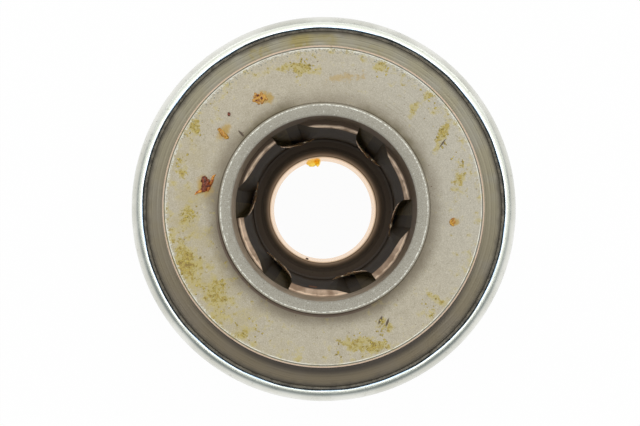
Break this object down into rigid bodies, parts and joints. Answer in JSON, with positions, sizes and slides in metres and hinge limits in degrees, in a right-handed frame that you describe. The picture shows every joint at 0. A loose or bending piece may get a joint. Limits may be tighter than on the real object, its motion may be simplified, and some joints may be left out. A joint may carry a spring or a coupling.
{
  "type": "starter drive",
  "caption": "Starter drive with roller clutch: pinion on bronze bushes, sealed clutch in a rolled steel shell, grooved sleeve, fork groove with guide ring and rear disc.",
  "frame": {"origin": "centre of the pinion's front face, where the part stands", "axes": "+Z along the shaft, from the pinion to the sleeve's open rear end; +X and +Y across it"},
  "size_m": [0.0542, 0.0542, 0.0625],
  "materials": {
    "hardened_steel": "ground and hardened, oily",
    "bronze": "sintered bronze, oil soaked",
    "sleeve_steel": "matte phosphated steel",
    "plated_shell": "bright zinc plate",
    "washer_steel": "plain steel",
    "seal_rubber": "matte",
    "stained_steel": "turned, olive oil stain",
    "disc_steel": "matte, with dried grease",
    "ground_steel": "ground",
    "spring_wire": "oiled wire"
  },
  "bodies": {
    "drive": {"drive_sleeve": "sleeve_steel", "clutch_shell": "plated_shell", "front_cover_washer": "washer_steel", "seal_ring": "seal_rubber", "split_washer_1": "washer_steel", "split_washer_2": "washer_steel", "fork_guide_ring": "stained_steel", "rear_fork_disc": "disc_steel", "roller_spring_1": "spring_wire", "roller_spring_2": "spring_wire", "roller_spring_3": "spring_wire", "roller_spring_4": "spring_wire", "roller_spring_5": "spring_wire", "roller_spring_6": "spring_wire"},
    "pinion": {"pinion_gear": "hardened_steel", "pinion_bush_front": "bronze", "pinion_bush_rear": "bronze"},
    "plunger_1": {"roller_plunger_1": "hardened_steel"},
    "roller_1": {"roller_1": "ground_steel"},
    "plunger_2": {"roller_plunger_2": "hardened_steel"},
    "roller_2": {"roller_2": "ground_steel"},
    "plunger_3": {"roller_plunger_3": "hardened_steel"},
    "roller_3": {"roller_3": "ground_steel"},
    "plunger_4": {"roller_plunger_4": "hardened_steel"},
    "roller_4": {"roller_4": "ground_steel"},
    "plunger_5": {"roller_plunger_5": "hardened_steel"},
    "roller_5": {"roller_5": "ground_steel"},
    "plunger_6": {"roller_plunger_6": "hardened_steel"},
    "roller_6": {"roller_6": "ground_steel"}
  },
  "joints": [
    {"name": "pinion_spin", "type": "hinge", "parent": "drive", "child": "pinion", "pos_m": [0, 0, 0.0082], "axis": [0, 0, 1], "continuous": true},
    {"name": "plunger_1_slide", "type": "slide", "parent": "drive", "child": "plunger_1", "axis": [-0.2079, 0.9781, 0], "range_m": [0, 0.0012], "stiffness_N_per_m": 600, "springref_m": -0.004, "deforming": ["roller_spring_1"]},
    {"name": "roller_1_spin", "type": "hinge", "parent": "plunger_1", "child": "roller_1", "pos_m": [0.01717, 0.00365, 0.0321], "axis": [0, 0, 1], "continuous": true},
    {"name": "plunger_2_slide", "type": "slide", "parent": "drive", "child": "plunger_2", "axis": [-0.9511, 0.309, 0], "range_m": [0, 0.0012], "stiffness_N_per_m": 600, "springref_m": -0.004, "deforming": ["roller_spring_2"]},
    {"name": "roller_2_spin", "type": "hinge", "parent": "plunger_2", "child": "roller_2", "pos_m": [0.00542, 0.01669, 0.0321], "axis": [0, 0, 1], "continuous": true},
    {"name": "plunger_3_slide", "type": "slide", "parent": "drive", "child": "plunger_3", "axis": [-0.7431, -0.6691, 0], "range_m": [0, 0.0012], "stiffness_N_per_m": 600, "springref_m": -0.004, "deforming": ["roller_spring_3"]},
    {"name": "roller_3_spin", "type": "hinge", "parent": "plunger_3", "child": "roller_3", "pos_m": [-0.01174, 0.01304, 0.0321], "axis": [0, 0, 1], "continuous": true},
    {"name": "plunger_4_slide", "type": "slide", "parent": "drive", "child": "plunger_4", "axis": [0.2079, -0.9781, 0], "range_m": [0, 0.0012], "stiffness_N_per_m": 600, "springref_m": -0.004, "deforming": ["roller_spring_4"]},
    {"name": "roller_4_spin", "type": "hinge", "parent": "plunger_4", "child": "roller_4", "pos_m": [-0.01717, -0.00365, 0.0321], "axis": [0, 0, 1], "continuous": true},
    {"name": "plunger_5_slide", "type": "slide", "parent": "drive", "child": "plunger_5", "axis": [0.9511, -0.309, 0], "range_m": [0, 0.0012], "stiffness_N_per_m": 600, "springref_m": -0.004, "deforming": ["roller_spring_5"]},
    {"name": "roller_5_spin", "type": "hinge", "parent": "plunger_5", "child": "roller_5", "pos_m": [-0.00542, -0.01669, 0.0321], "axis": [0, 0, 1], "continuous": true},
    {"name": "plunger_6_slide", "type": "slide", "parent": "drive", "child": "plunger_6", "axis": [0.7431, 0.6691, 0], "range_m": [0, 0.0012], "stiffness_N_per_m": 600, "springref_m": -0.004, "deforming": ["roller_spring_6"]},
    {"name": "roller_6_spin", "type": "hinge", "parent": "plunger_6", "child": "roller_6", "pos_m": [0.01174, -0.01304, 0.0321], "axis": [0, 0, 1], "continuous": true}
  ],
  "couplings": [
    {"joint": "roller_1_spin", "follows": "pinion_spin", "ratio": -4},
    {"joint": "roller_2_spin", "follows": "pinion_spin", "ratio": -4},
    {"joint": "plunger_2_slide", "follows": "plunger_1_slide", "ratio": 1},
    {"joint": "roller_3_spin", "follows": "pinion_spin", "ratio": -4},
    {"joint": "plunger_3_slide", "follows": "plunger_1_slide", "ratio": 1},
    {"joint": "roller_4_spin", "follows": "pinion_spin", "ratio": -4},
    {"joint": "plunger_4_slide", "follows": "plunger_1_slide", "ratio": 1},
    {"joint": "roller_5_spin", "follows": "pinion_spin", "ratio": -4},
    {"joint": "plunger_5_slide", "follows": "plunger_1_slide", "ratio": 1},
    {"joint": "roller_6_spin", "follows": "pinion_spin", "ratio": -4},
    {"joint": "plunger_6_slide", "follows": "plunger_1_slide", "ratio": 1}
  ]
}
